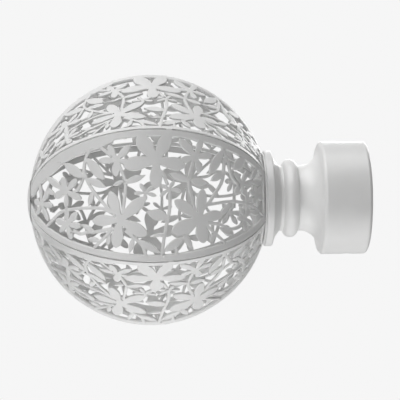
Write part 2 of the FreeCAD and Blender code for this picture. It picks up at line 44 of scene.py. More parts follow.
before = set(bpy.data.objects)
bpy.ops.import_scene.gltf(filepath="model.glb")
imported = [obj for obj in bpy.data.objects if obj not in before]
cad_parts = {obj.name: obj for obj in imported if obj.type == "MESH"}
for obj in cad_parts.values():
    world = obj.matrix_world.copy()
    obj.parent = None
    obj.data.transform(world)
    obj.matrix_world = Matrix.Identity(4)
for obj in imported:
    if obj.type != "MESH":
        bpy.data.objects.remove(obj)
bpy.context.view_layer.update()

MM = 0.001
NECK_LOW, NECK_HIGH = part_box("neck_socket")
BUTTON_LOW, BUTTON_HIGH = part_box("tip_button")

# Panel pattern in millimetres on the flat panel: s along it toward the neck, t across it.
# centre, then the tip of each petal with the petal's width
FLOWERS = [
    ((0.9, 10.6), [(-4.3, 18.0, 4.7), (5.0, 18.6, 4.1), (9.8, 8.9, 4.0), (0.8, 2.3, 3.9), (-8.9, 9.2, 4.4)]),
    ((-10.3, -7.2), [(-13.1, 1.3, 3.5), (-2.5, -0.7, 3.8), (-2.1, -11.8, 3.8), (-11.5, -15.4, 3.8),
                     (-18.8, -7.3, 3.5)]),
    ((14.2, -7.1), [(15.4, 1.8, 3.3), (6.6, -1.5, 3.6), (5.6, -11.1, 4.2), (15.4, -14.3, 4.1),
                    (21.8, -5.6, 3.3)]),
    ((-11.2, 10.9), [(-13.4, 15.4, 2.2), (-6.9, 15.0, 2.2), (-16.6, 10.8, 2.0), (-11.3, 6.0, 2.5),
                     (-6.5, 9.7, 1.9)]),
    ((13.2, 11.7), [(8.1, 16.9, 2.5), (15.3, 17.2, 2.1), (18.5, 12.2, 2.2), (14.5, 6.9, 2.1),
                    (8.2, 10.4, 2.1)]),
    ((-28.3, 1.9), [(-37.0, 6.5, 2.2), (-29.9, 6.2, 2.5), (-24.2, 5.5, 2.1), (-22.8, -0.6, 2.2),
                    (-28.3, -3.2, 1.9), (-33.4, 0.5, 2.5)]),
    ((-28.1, -8.1), [(-24.2, -4.7, 2.2), (-23.0, -8.9, 1.9), (-26.4, -12.6, 2.2), (-31.1, -10.3, 1.9),
                     (-32.8, -6.7, 2.2), (-28.2, -2.7, 1.9)]),
    ((-40.5, -1.6), [(-41.7, 4.6, 1.9), (-35.7, 3.1, 2.2), (-34.6, -2.2, 1.9), (-36.7, -6.8, 1.9),
                     (-46.5, -0.4, 1.9), (-44.3, -4.6, 1.9)]),
    ((29.9, 3.6), [(26.9, 7.3, 1.9), (32.8, 7.7, 1.9), (36.0, 4.4, 1.9), (26.9, 0.8, 1.9),
                   (31.4, 0.2, 1.9)]),
    ((31.1, -6.9), [(28.1, -6.9, 1.9), (30.9, -10.7, 1.9), (34.8, -8.9, 1.9), (29.2, -3.4, 1.6),
                    (33.6, -4.1, 1.6)]),
    ((-2.5, 0.9), [(-3.9, 3.7, 1.3), (0.3, 2.8, 1.3), (0.9, -0.1, 1.3), (-5.8, 0.7, 1.3),
                   (-2.4, -1.5, 1.3)]),
    ((4.8, 2.0), [(6.3, 4.3, 1.3), (8.4, 1.2, 1.3), (2.0, -0.2, 1.3), (2.3, 3.1, 1.3)]),
    ((37.4, 0.3), [(34.0, 1.6, 2.1), (35.2, -2.2, 1.9), (38.6, -2.9, 1.8), (41.6, -0.6, 2.0),
                   (40.4, 3.2, 2.0), (36.8, 3.7, 1.8)]),
]
# foot, tip and width of each leaf
LEAVES = [
    ((-8.9, 4.6), (-12.2, 3.2), 1.3), ((-8.6, 3.9), (-2.4, 6.1), 2.1), ((-20.6, 11.5), (-14.9, 4.9), 3.4),
    ((-20.6, 5.4), (-14.6, 2.8), 2.4), ((-18.7, 1.6), (-20.1, -2.6), 1.9), ((-21.5, 5.8), (-29.2, 10.5), 3.2),
    ((-13.4, -11.6), (-14.2, -14.8), 1.6), ((-16.8, -13.4), (-20.6, -12.7), 1.6),
    ((-18.6, -10.4), (-22.6, -8.4), 1.5), ((-6.1, -12.6), (-7.4, -17.2), 1.7),
    ((-4.4, -13.6), (1.7, -17.2), 2.2),
    ((4.4, -6.8), (-2.0, -5.0), 3.4), ((3.7, -11.6), (-1.0, -12.3), 1.1), ((11.0, 4.5), (4.7, 6.5), 2.2),
    ((11.6, 4.4), (16.6, 3.7), 2.6), ((22.3, 13.7), (17.7, 6.3), 3.2), ((22.6, 6.8), (18.2, 4.5), 2.4),
    ((9.2, -11.9), (11.7, -16.0), 2.1), ((19.2, -11.4), (17.7, -14.1), 1.6), ((31.1, 11.5), (26.5, 8.1), 3.5),
    ((21.0, -6.3), (25.2, -2.3), 1.9), ((9.0, -12.7), (3.0, -16.9), 2.5), ((21.0, -9.9), (25.4, -12.0), 1.6),
    ((-33.4, 1.1), (-37.6, 2.9), 1.7), ((34.6, 5.0), (38.6, 9.4), 2.0), ((34.6, 4.2), (41.5, 4.4), 2.0),
    ((33.6, -5.0), (38.9, -5.0), 2.0), ((39.9, 4.4), (42.9, 7.0), 1.7),
]
STEMS = [
    [(-10.7, 10.4), (-8.5, 4.9), (-8.4, 1.8), (-9.3, -5.1)],
    [(-12.0, -5.5), (-16.0, -1.4), (-18.1, 1.1), (-20.1, 3.9), (-21.2, 6.4), (-21.7, 8.8), (-20.9, 11.8),
     (-19.2, 15.1)],
    [(-26.4, 1.2), (-24.0, 2.2), (-22.8, 4.2), (-21.8, 6.6)],
    [(-17.2, 15.8), (-12.6, 12.0)],
    [(13.0, -8.8), (8.6, -13.2)],
    [(-11.7, -5.7), (-14.7, -4.0), (-18.1, -3.4), (-24.9, -3.5), (-30.1, -4.2), (-32.8, -5.6), (-35.2, -7.1),
     (-37.9, -8.7)],
    [(-12.2, -9.5), (-15.0, -12.3), (-18.5, -15.4)],
    [(-12.2, -9.7), (-17.9, -10.7), (-20.3, -10.6), (-23.0, -11.2), (-25.8, -10.1)],
    [(-8.5, -10.3), (-5.4, -13.1), (-3.4, -15.1), (-2.3, -18.6)],
    [(2.2, 7.4), (3.1, 6.3), (4.4, 3.1)],
    [(4.8, 2.3), (5.0, -2.0), (4.6, -5.8), (3.7, -9.6), (2.8, -14.6), (2.3, -19.0)],
    [(12.6, 11.0), (11.0, 5.1), (11.4, 0.8), (12.9, -4.8)],
    [(14.9, -4.5), (17.2, -2.5), (19.5, 0.5), (22.3, 4.8), (23.1, 11.5)],
    [(6.6, -14.2), (6.9, -18.3)],
    [(15.7, -8.3), (19.2, -11.4), (23.3, -14.6)],
    [(15.4, -8.0), (18.0, -8.5), (21.2, -8.8), (24.6, -10.2), (28.5, -9.6), (30.6, -7.8)],
    [(22.2, 15.3), (24.6, 9.5), (25.9, 5.9), (28.5, 3.2)],
    [(17.1, -2.8), (25.2, -1.8), (32.2, -2.3), (35.4, -3.1), (39.5, -4.7), (44.4, -6.6)],
    [(31.7, 2.3), (32.0, -5.4)],
]
# the plain margin is wider along the upper edge near the tip, up to this line
WIDE_MARGIN = [(-48.0, 1.2), (-42.6, 4.1), (-39.4, 5.1), (-35.3, 6.9), (-28.9, 10.5), (-24.9, 12.3),
               (-18.0, 14.2), (-12.0, 16.2)]
BEYOND_MARGIN = [(-12.0, 21.0), (-54.0, 21.0), (-54.0, 0.6)]
# share of the length, and half width as a share of the width, from foot to tip
PETAL_PROFILE = [(0.0, 0.18), (0.32, 0.36), (0.62, 0.5), (0.86, 0.38), (1.0, 0.12)]
LEAF_PROFILE = [(0.0, 0.12), (0.35, 0.45), (0.7, 0.42), (1.0, 0.04)]
# radius of a flower's middle as a share of its petals' length
HEART_SHARE = 0.17
HEART_SIDES = 12
CURVE_STEPS = 3
# width of each ring of a rounded edge and depth of its outer side, as shares of the rounding
EDGE_STEPS = [(0.13, 1.0), (0.37, 0.5), (0.5, 0.13)]
# step in the search for the place where the two long rims of a panel part
RIM_SEARCH_STEP = 0.1 * MM

# Neck and socket in millimetres: places along the pole axis from the mouth, then distances from the axis
SPIGOT_END = -35.7
COLLAR_FACE = -33.2
FLANGE_FACE = -32.8
FLANGE_BACK = -30.15
TAPER_FOOT = -27.75
BEAD_START = -26.8
BEAD_END = -22.0
COVE_START = -21.4
CUP_STEP = -15.2
SOCKET_FLOOR = -13.5
SCREW_PLACE = -6.5
SPIGOT_RADIUS = 10.7
COLLAR_RADIUS = 14.4
FLANGE_SIDE = 14.6
NECK_RADIUS = 10.4
COVE_TOP = 16.4
CUP_RADIUS = 18.0
BORE_RADIUS = 14.3
SCREW_HOLE_RADIUS = 2.05
# its roundings, the hollow of the taper, the bead's arc, the chamfer at the mouth and the cutter of the hole
FLANGE_ROUND = 0.65
TAPER_HOLLOW = 9.5
BEAD_ARC = 2.43
COVE_ARC = 6.1
SHOULDER_ROUND = 1.3
RIM_ROUND = 1.2
MOUTH_CHAMFER = 0.5
HOLE_LENGTH = 12.0
HOLE_SIDES = 48

# Steps of an arc in a turned profile
ARC_STEPS = 10
FINE_ARC_STEPS = 16
SHORT_ARC_STEPS = 4

# Shading and joining of meshes
MERGE_DISTANCE = 1e-7
SHARP_ANGLE = math.radians(28)
FACE_WEIGHT = 80

# Darker tone of the paint's mottle and of the steel's turning marks, as a share of the lighter one
PAINT_DARKER = 0.965
STEEL_DARKER = 0.8

# The photo's camera, as the part's own turn and place in front of it
CAMERA_DISTANCE = 547.2 * MM
PART_YAW = math.radians(3.25)
PART_ROLL = math.radians(0.63)
PANEL_TURN = math.radians(2.03)
PART_SHIFT = Vector((-15.84 * MM, 0.0, 0.10 * MM))
SENSOR_WIDTH = 36.0
FOCAL_PIXELS = 1720
PHOTO_PIXELS = 400

# Lamps: name, place and side in metres, power in watts. All point at the finial's middle.
LAMPS = [
    ("upper_lamp", (-0.15, -0.17, 0.72), 0.75, 4.8),
    ("upper_left_lamp", (-0.55, -0.15, 0.55), 0.5, 1.7),
    ("lower_lamp", (-0.08, -0.11, -0.28), 0.35, 0.62),
    ("front_lamp", (-0.60, -0.9, 0.05), 0.6, 1.65),
    ("back_lamp", (0.3, 0.9, 0.25), 0.6, 2.9),
]
LAMP_TARGET = Vector((-54 * MM, 0, 0))
ROOM_LIGHT = 0.01
FLOOR_HEIGHT = -0.36
FLOOR_HALF_SIDE = 1.5
# distance from the middle of the floor at which it starts to fade into the background, and has faded
FADE_START = 0.21
FADE_END = 0.51


class FinialSizes(bpy.types.PropertyGroup):
    ball_corner_radius: FloatProperty(
        name="Ball corner radius", description="From the pole axis to a seam",
        default=40.0 * MM, unit="LENGTH")
    ball_half_length: FloatProperty(
        name="Ball half length", description="Along the pole axis", default=38.25 * MM, unit="LENGTH")
    end_bend_radius: FloatProperty(
        name="End bend", description="Bend of a panel near its ends", default=33.0 * MM, unit="LENGTH")
    ball_centre: FloatProperty(
        name="Ball centre", description="Place of the ball's middle on the pole axis",
        default=-68.8 * MM, unit="LENGTH")
    panel_count: IntProperty(name="Panels", description="Panels round the ball", default=6)
    sheet_thickness: FloatProperty(
        name="Sheet", description="Thickness of a panel", default=0.75 * MM, unit="LENGTH")
    edge_round: FloatProperty(
        name="Edge rounding", description="Softening of the cut edges by the paint",
        default=0.22 * MM, unit="LENGTH")
    band_width: FloatProperty(
        name="Rim", description="Plain rim along a panel's long edges", default=2.1 * MM, unit="LENGTH")
    seam_gap: FloatProperty(
        name="Seam", description="Gap between neighbouring rims", default=0.4 * MM, unit="LENGTH")
    neck_collar: FloatProperty(
        name="Neck strip", description="Plain strip across a panel's neck end",
        default=1.3 * MM, unit="LENGTH")
    tack_offset: FloatProperty(
        name="Tack place", description="From the middle to the tack on a seam",
        default=5.0 * MM, unit="LENGTH")
    tack_length: FloatProperty(
        name="Tack", description="Closed stretch of a seam", default=1.8 * MM, unit="LENGTH")
    tip_hole_radius: FloatProperty(
        name="Tip hole", description="Hole that the panel tips leave", default=3.2 * MM, unit="LENGTH")
    tip_dome_height: FloatProperty(
        name="Tip dome", description="Height of the button's dome", default=0.95 * MM, unit="LENGTH")
    tip_shank_radius: FloatProperty(
        name="Tip shank", description="Of the button's shank", default=3.0 * MM, unit="LENGTH")
    stem_width: FloatProperty(name="Stem", description="Width of a stem", default=1.0 * MM, unit="LENGTH")
    slice_length: FloatProperty(
        name="Slice", description="Length of one straight slice of the bent sheet",
        default=1.5 * MM, unit="LENGTH")
    turn_steps: IntProperty(name="Turn steps", description="Sides of a turned piece", default=144)
    turned_edge_round: FloatProperty(
        name="Turned edge", description="Softening of a turned piece's edges by the paint",
        default=0.14 * MM, unit="LENGTH")


class FinialLooks(bpy.types.PropertyGroup):
    paint_colour: FloatVectorProperty(
        name="Paint", description="White paint", subtype="COLOR", size=3, default=(0.74, 0.74, 0.735))
    paint_roughness: FloatProperty(
        name="Paint roughness", description="Of the satin paint", default=0.32, subtype="FACTOR")
    steel_colour: FloatVectorProperty(
        name="Steel", description="Plated screw", subtype="COLOR", size=3, default=(0.55, 0.55, 0.56))
    page_colour: FloatVectorProperty(
        name="Background", description="Pale background", subtype="COLOR", size=3,
        default=(0.921, 0.921, 0.921))


# Shared tools
def new_material(name):
    """An empty node material, with its nodes and its links."""
    material = bpy.data.materials.new(name)
    material.use_nodes = True
    nodes = material.node_tree.nodes
    nodes.clear()
    return material, nodes, material.node_tree.links


def paint_material(looks):
    """Satin white paint: a faint mottle in tone and gloss, and a fine pebbled skin."""
    if "white_paint_finish" in bpy.data.materials:
        return bpy.data.materials["white_paint_finish"]
    material, nodes, links = new_material("white_paint_finish")
    output = nodes.new("ShaderNodeOutputMaterial")
    shader = nodes.new("ShaderNodeBsdfPrincipled")
    place = nodes.new("ShaderNodeTexCoord")
    mottle = nodes.new("ShaderNodeTexNoise")
    mottle.inputs["Scale"].default_value = 90.0
    mottle.inputs["Detail"].default_value = 4.0
    tone = nodes.new("ShaderNodeValToRGB")
    darker = [channel * PAINT_DARKER for channel in looks.paint_colour]
    tone.color_ramp.elements[0].position = 0.35
    tone.color_ramp.elements[0].color = (*darker, 1.0)
    tone.color_ramp.elements[1].position = 0.65
    tone.color_ramp.elements[1].color = (*looks.paint_colour, 1.0)
    gloss = nodes.new("ShaderNodeMapRange")
    gloss.inputs["To Min"].default_value = looks.paint_roughness - 0.05
    gloss.inputs["To Max"].default_value = looks.paint_roughness + 0.07
    pebble = nodes.new("ShaderNodeTexNoise")
    pebble.inputs["Scale"].default_value = 1400.0
    pebble.inputs["Detail"].default_value = 3.0
    bump = nodes.new("ShaderNodeBump")
    bump.inputs["Strength"].default_value = 0.05
    bump.inputs["Distance"].default_value = 0.0002
    links.new(place.outputs["Object"], mottle.inputs["Vector"])
    links.new(place.outputs["Object"], pebble.inputs["Vector"])
    links.new(mottle.outputs["Fac"], tone.inputs["Fac"])
    links.new(mottle.outputs["Fac"], gloss.inputs["Value"])
    links.new(pebble.outputs["Fac"], bump.inputs["Height"])
    links.new(tone.outputs["Color"], shader.inputs["Base Color"])
    links.new(gloss.outputs["Result"], shader.inputs["Roughness"])
    links.new(bump.outputs["Normal"], shader.inputs["Normal"])
    links.new(shader.outputs["BSDF"], output.inputs["Surface"])
    return material


def steel_material(looks):
    """Plated steel with fine turning marks."""
    material, nodes, links = new_material("screw_steel_finish")
    output = nodes.new("ShaderNodeOutputMaterial")
    shader = nodes.new("ShaderNodeBsdfPrincipled")
    shader.inputs["Metallic"].default_value = 1.0
    place = nodes.new("ShaderNodeTexCoord")
    marks = nodes.new("ShaderNodeTexNoise")
    marks.inputs["Scale"].default_value = 2500.0
    tone = nodes.new("ShaderNodeValToRGB")
    darker = [channel * STEEL_DARKER for channel in looks.steel_colour]
    tone.color_ramp.elements[0].color = (*darker, 1.0)
    tone.color_ramp.elements[1].color = (*looks.steel_colour, 1.0)
    rough = nodes.new("ShaderNodeMapRange")
    rough.inputs["To Min"].default_value = 0.28
    rough.inputs["To Max"].default_value = 0.42
    links.new(place.outputs["Object"], marks.inputs["Vector"])
    links.new(marks.outputs["Fac"], tone.inputs["Fac"])
    links.new(marks.outputs["Fac"], rough.inputs["Value"])
    links.new(tone.outputs["Color"], shader.inputs["Base Color"])
    links.new(rough.outputs["Result"], shader.inputs["Roughness"])
    links.new(shader.outputs["BSDF"], output.inputs["Surface"])
    return material


def finished_mesh(name, mesh):
    """Turns a closed mesh into a data block, and stops the script where it isn't closed."""
    if not mesh.faces or not all(edge.is_manifold for edge in mesh.edges):
        raise RuntimeError("%s is empty or not closed" % name)
    result = bpy.data.meshes.new(name)
    mesh.to_mesh(result)
    mesh.free()
    return result


def finished_piece(name, mesh, material, node):
    """Puts a finished mesh in the scene as the piece that stands for a CAD node."""
    for polygon in mesh.polygons:
        polygon.use_smooth = True
    mesh.materials.append(material)
    piece = bpy.data.objects.new(name, mesh)
    bpy.context.scene.collection.objects.link(piece)
    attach(piece, "root")
    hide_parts(node)
    return piece


def shade_evenly(piece):
    """Keeps large faces flat in shade where rounded edges meet them."""
    weigh = piece.modifiers.new("Even shading", "WEIGHTED_NORMAL")
    weigh.weight = FACE_WEIGHT


# Bend of a panel
class BendLine:
    """Middle line of a bent panel: a wide arc with a tighter arc at each end, all tangent."""

    def __init__(self, sizes):
        flat = sizes.ball_corner_radius * math.cos(math.pi / sizes.panel_count)
        spare = flat - sizes.end_bend_radius
        self.end_bend = sizes.end_bend_radius
        self.end_centre = sizes.ball_half_length - self.end_bend
        self.middle_drop = (self.end_centre ** 2 - spare ** 2) / (2 * spare)
        self.middle_bend = flat + self.middle_drop
        self.switch = math.atan2(self.end_centre, self.middle_drop)
        self.middle_run = self.middle_bend * self.switch

    def tilt(self, run):
        if abs(run) <= self.middle_run:
            return run / self.middle_bend
        return math.copysign(self.switch + (abs(run) - self.middle_run) / self.end_bend, run)

    def point(self, run, lift=0.0):
        """x from the ball's middle and distance from the pole axis, lifted off the outer face."""
        tilt = self.tilt(run)
        if abs(run) <= self.middle_run:
            bend = self.middle_bend + lift
            return bend * math.sin(tilt), bend * math.cos(tilt) - self.middle_drop
        bend = self.end_bend + lift
        return math.copysign(self.end_centre, run) + bend * math.sin(tilt), bend * math.cos(tilt)

    def run_from_tilt(self, tilt):
        return self.middle_run + (tilt - self.switch) * self.end_bend


# Flat outlines of the pattern
def smooth_loop(points, steps):
    """A closed curve through the points, with the same number of steps between each two."""
    count = len(points)
    loop = []
    for i in range(count):
        before, start = Vector(points[i - 1]), Vector(points[i])
        end, after = Vector(points[(i + 1) % count]), Vector(points[(i + 2) % count])
        for step in range(steps):
            loop.append(curve_between(before, start, end, after, step / steps))
    return loop


def curve_between(before, start, end, after, share):
    """A point of the smooth curve that runs from start to end."""
    return 0.5 * (2 * start + (end - before) * share
                  + (2 * before - 5 * start + 4 * end - after) * share ** 2
                  + (3 * start - before - 3 * end + after) * share ** 3)


def blade(foot, tip, width, profile):
    """Outline of a petal or a leaf from its half widths along the line from foot to tip."""
    foot, tip = Vector(foot), Vector(tip)
    along = tip - foot
    across = Vector((-along.y, along.x)).normalized() * width
    left = [foot + along * share + across * half for share, half in profile]
    right = [foot + along * share - across * half for share, half in reversed(profile)]
    return smooth_loop([tuple(point) for point in reversed(left + right)], CURVE_STEPS)


def stem(points, width):
    """Outline of a stem that runs smoothly through the points."""
    points = [Vector(point) for point in points]
    padded = [2 * points[0] - points[1]] + points + [2 * points[-1] - points[-2]]
    line = []
    for i in range(1, len(padded) - 2):
        for step in range(CURVE_STEPS + 1):
            line.append(curve_between(*padded[i - 1:i + 3], step / (CURVE_STEPS + 1)))
    line.append(points[-1])
    left, right = [], []
    for i, point in enumerate(line):
        along = line[min(i + 1, len(line) - 1)] - line[max(i - 1, 0)]
        across = Vector((-along.y, along.x)).normalized() * width / 2
        left.append(point + across)
        right.append(point - across)
    return left[::-1] + right


def heart(centre, petals):
    """Middle of a flower, as wide as its petals are at their feet."""
    reach = sum(math.hypot(s - centre[0], t - centre[1]) for s, t, _ in petals) / len(petals)
    radius = reach * HEART_SHARE
    angles = [2 * math.pi * i / HEART_SIDES for i in range(HEART_SIDES)]
    return [Vector((centre[0] + radius * math.cos(angle), centre[1] + radius * math.sin(angle)))
            for angle in angles]


def pattern_outlines(stem_width):
    """Every shape of the pattern, each an anticlockwise loop in millimetres."""
    shapes = []
    for centre, petals in FLOWERS:
        shapes.append(heart(centre, petals))
        shapes += [blade(centre, (s, t), width, PETAL_PROFILE) for s, t, width in petals]
    shapes += [blade(foot, tip, width, LEAF_PROFILE) for foot, tip, width in LEAVES]
    shapes += [stem(points, stem_width) for points in STEMS]
    shapes.append([Vector(point) for point in WIDE_MARGIN + BEYOND_MARGIN])
    return [loop if signed_area(loop) > 0 else loop[::-1] for loop in shapes]


def signed_area(loop):
    """Area of a flat loop, below zero where it runs clockwise."""
    return sum(a.x * b.y - b.x * a.y for a, b in zip(loop, loop[1:] + loop[:1])) / 2


def even_runs(start, stop, step):
    """Places from start to stop, all the same distance apart, which is about the step."""
    count = round((stop - start) / step)
    return [start + (stop - start) * i / count for i in range(count + 1)]


def rim_loops(sizes, line):
    """Outer edge of the flat panel, and the inner edge of its rim."""
    tangent = math.tan(math.pi / sizes.panel_count)
    half_gap = sizes.seam_gap / 2 / math.cos(math.pi / sizes.panel_count)
    tip_run = -line.run_from_tilt(math.acos(sizes.tip_hole_radius / line.end_bend))
    spigot_length = (COLLAR_FACE - SPIGOT_END) * MM
    neck_x = NECK_LOW.x + spigot_length - sizes.ball_centre
    neck_run = line.run_from_tilt(math.asin((neck_x - line.end_centre) / line.end_bend))

    def edge(run):
        return line.point(run)[1] * tangent - half_gap

    def inner(run):
        slope = math.sin(abs(line.tilt(run))) * tangent
        return line.point(run)[1] * tangent - sizes.band_width * math.sqrt(1 + slope ** 2)

    runs = even_runs(tip_run, neck_run, sizes.slice_length)
    tack_start = sizes.tack_offset - sizes.tack_length / 2
    tack_end = sizes.tack_offset + sizes.tack_length / 2
    upper = [(run, edge(run)) for run in runs if run < tack_start]
    upper += [(tack_start, edge(tack_start)), (tack_start, edge(tack_start) + half_gap)]
    upper += [(tack_end, edge(tack_end) + half_gap), (tack_end, edge(tack_end))]
    upper += [(run, edge(run)) for run in runs if run > tack_end]
    lower = [(run, -height) for run, height in reversed(upper)]
    outer_loop = [Vector(point) for point in reversed(upper + lower)]
    stop = neck_run - sizes.neck_collar
    start = tip_run
    while inner(start) < 0:
        start += RIM_SEARCH_STEP
    runs = even_runs(start, stop, sizes.slice_length)
    top = [(run, inner(run)) for run in runs[1:]]
    bottom = [(run, -height) for run, height in reversed(top)]
    inner_loop = [Vector(point) for point in reversed([(start, 0.0)] + top + bottom)]
    return outer_loop, inner_loop


def pierced_sheet(sizes, line):
    """The flat panel with its openings, as one face of triangles in s and t."""
    outer_loop, inner_loop = rim_loops(sizes, line)
    shapes = [[point * MM for point in loop] for loop in pattern_outlines(sizes.stem_width / MM)]
    loops = [outer_loop, inner_loop] + shapes
    points, faces = [], []
    for loop in loops:
        faces.append(list(range(len(points), len(points) + len(loop))))
        points += [Vector((point.x, point.y)) for point in loop]
    inside_loops = 1
    flat_points, _, flat_faces, _, _, sources = delaunay_2d_cdt(
        points, [], faces, inside_loops, MERGE_DISTANCE, True)
    mesh = bmesh.new()
    corners = [mesh.verts.new((point.x, point.y, 0.0)) for point in flat_points]
    for face, source in zip(flat_faces, sources):
        in_rim = 0 in source and 1 not in source
        in_pattern = 0 in source and any(index > 1 for index in source)
        if in_rim or in_pattern:
            mesh.faces.new([corners[index] for index in face])
    loose = [corner for corner in mesh.verts if not corner.link_faces]
    bmesh.ops.delete(mesh, geom=loose, context="VERTS")
    bmesh.ops.recalc_face_normals(mesh, faces=mesh.faces[:])
    if mesh.faces[0].normal.z < 0:
        bmesh.ops.reverse_faces(mesh, faces=mesh.faces[:])
    return mesh


def round_edges(mesh, radius):
    """Sinks the outline of the flat face step by step, so that its edges are rounded."""
    inside = mesh.faces[:]
    for width, drop in EDGE_STEPS:
        inset = bmesh.ops.inset_region(mesh, faces=inside, thickness=radius * width, use_boundary=True)
        ring = set(inset["faces"])
        inside = [face for face in inside if face not in ring]
        kept = {vert for face in inside for vert in face.verts}
        for vert in {vert for face in ring for vert in face.verts} - kept:
            vert.co.z = -radius * drop


def slice_across(mesh, start, end, step):
    """Cuts the flat sheet across in even slices, so that it can be bent."""
    for i in range(1, round((end - start) / step)):
        geometry = mesh.verts[:] + mesh.edges[:] + mesh.faces[:]
        bmesh.ops.bisect_plane(
            mesh, geom=geometry, dist=MERGE_DISTANCE, plane_co=(start + i * step, 0, 0),
            plane_no=(1, 0, 0))


def give_thickness(mesh, thickness, radius):
    """Adds the back face and the cut walls."""
    front_edges = [edge for edge in mesh.edges if edge.is_boundary]
    copy = bmesh.ops.duplicate(mesh, geom=mesh.verts[:] + mesh.edges[:] + mesh.faces[:])
    back_faces = [item for item in copy["geom"] if isinstance(item, bmesh.types.BMFace)]
    for item in copy["geom"]:
        if isinstance(item, bmesh.types.BMVert):
            item.co.z = -thickness - item.co.z
    bmesh.ops.reverse_faces(mesh, faces=back_faces)
    walls = bmesh.ops.extrude_edge_only(mesh, edges=front_edges)
    for item in walls["geom"]:
        if isinstance(item, bmesh.types.BMVert):
            item.co.z = -thickness + radius
    bmesh.ops.remove_doubles(mesh, verts=mesh.verts[:], dist=MERGE_DISTANCE)


def bend(mesh, sizes, line):
    """Bends the flat sheet round the ball, with its middle toward -Y."""
    for vert in mesh.verts:
        run, across, lift = vert.co
        x, radius = line.point(run, lift)
        outer_radius = line.point(run)[1]
        vert.co = (sizes.ball_centre + x, -radius, across * radius / outer_radius)


def panel_mesh(sizes):
    """The pierced panel that faces -Y: cut flat, rounded, sliced, thickened and bent."""
    line = BendLine(sizes)
    sheet = pierced_sheet(sizes, line)
    round_edges(sheet, sizes.edge_round)
    low = min(vert.co.x for vert in sheet.verts)
    high = max(vert.co.x for vert in sheet.verts)
    slice_across(sheet, low, high, sizes.slice_length)
    give_thickness(sheet, sizes.sheet_thickness, sizes.edge_round)
    bend(sheet, sizes, line)
    bmesh.ops.recalc_face_normals(sheet, faces=sheet.faces[:])
    if sheet.calc_volume(signed=True) < 0:
        bmesh.ops.reverse_faces(sheet, faces=sheet.faces[:])
    return finished_mesh("pierced_panel_pattern", sheet)


class FINIAL_OT_panels(bpy.types.Operator):
    """Cut, bend and paint the pierced panels"""

    bl_idname = "finial.panels"
    bl_label = "Pierced panels"

    def execute(self, context):
        sizes, looks = context.scene.finial_sizes, context.scene.finial_looks
        pattern_mesh = panel_mesh(sizes)
        for i in range(sizes.panel_count):
            mesh = pattern_mesh.copy()
            mesh.transform(Matrix.Rotation(-i * 2 * math.pi / sizes.panel_count, 4, "X"))
            node = "pierced_panel_%d" % (i + 1)
            panel = finished_piece("panel_%d" % (i + 1), mesh, paint_material(looks), node)
            shade_evenly(panel)
        bpy.data.meshes.remove(pattern_mesh)
        return {"FINISHED"}


# Turned pieces
def arc(centre, radius, start, end, steps=ARC_STEPS):
    """Points of an arc, with its angles in degrees."""
    return [(centre[0] + radius * math.cos(math.radians(start + (end - start) * i / steps)),
             centre[1] + radius * math.sin(math.radians(start + (end - start) * i / steps)))
            for i in range(steps + 1)]


def arc_through(start, end, radius, steps=ARC_STEPS):
    """Points of an arc from start to end whose centre lies to the right of the way there."""
    start, end = Vector(start), Vector(end)
    half = (end - start) / 2
    right = Vector((half.y, -half.x)).normalized()
    centre = start + half + right * math.sqrt(radius ** 2 - half.length ** 2)
    first = math.degrees(math.atan2(start.y - centre.y, start.x - centre.x))
    last = math.degrees(math.atan2(end.y - centre.y, end.x - centre.x))
    if abs(last - first) > 180:
        last -= math.copysign(360, last - first)
    return arc(centre, radius, first, last, steps)


def turned_mesh(name, profile, steps, edge_round):
    """Spins a profile of x and radius, in metres, about the pole axis, and rounds its edges."""
    mesh = bmesh.new()
    corners = []
    for x, radius in profile:
        if not corners or (Vector((x, 0, radius)) - corners[-1].co).length > MERGE_DISTANCE:
            corners.append(mesh.verts.new((x, 0, radius)))
    edges = [mesh.edges.new(pair) for pair in zip(corners, corners[1:])]
    bmesh.ops.spin(
        mesh, geom=corners + edges, cent=(0, 0, 0), axis=(1, 0, 0), dvec=(0, 0, 0),
        angle=2 * math.pi, steps=steps, use_merge=True)
    bmesh.ops.remove_doubles(mesh, verts=mesh.verts[:], dist=MERGE_DISTANCE)
    bmesh.ops.recalc_face_normals(mesh, faces=mesh.faces[:])
    sharp = [edge for edge in mesh.edges
             if len(edge.link_faces) == 2 and edge.calc_face_angle() > SHARP_ANGLE]
    bmesh.ops.bevel(
        mesh, geom=sharp, offset=edge_round, segments=3, affect="EDGES", profile=0.5, material=-1)
    bmesh.ops.remove_doubles(mesh, verts=mesh.verts[:], dist=MERGE_DISTANCE)
    bmesh.ops.recalc_face_normals(mesh, faces=mesh.faces[:])
    return finished_mesh(name, mesh)


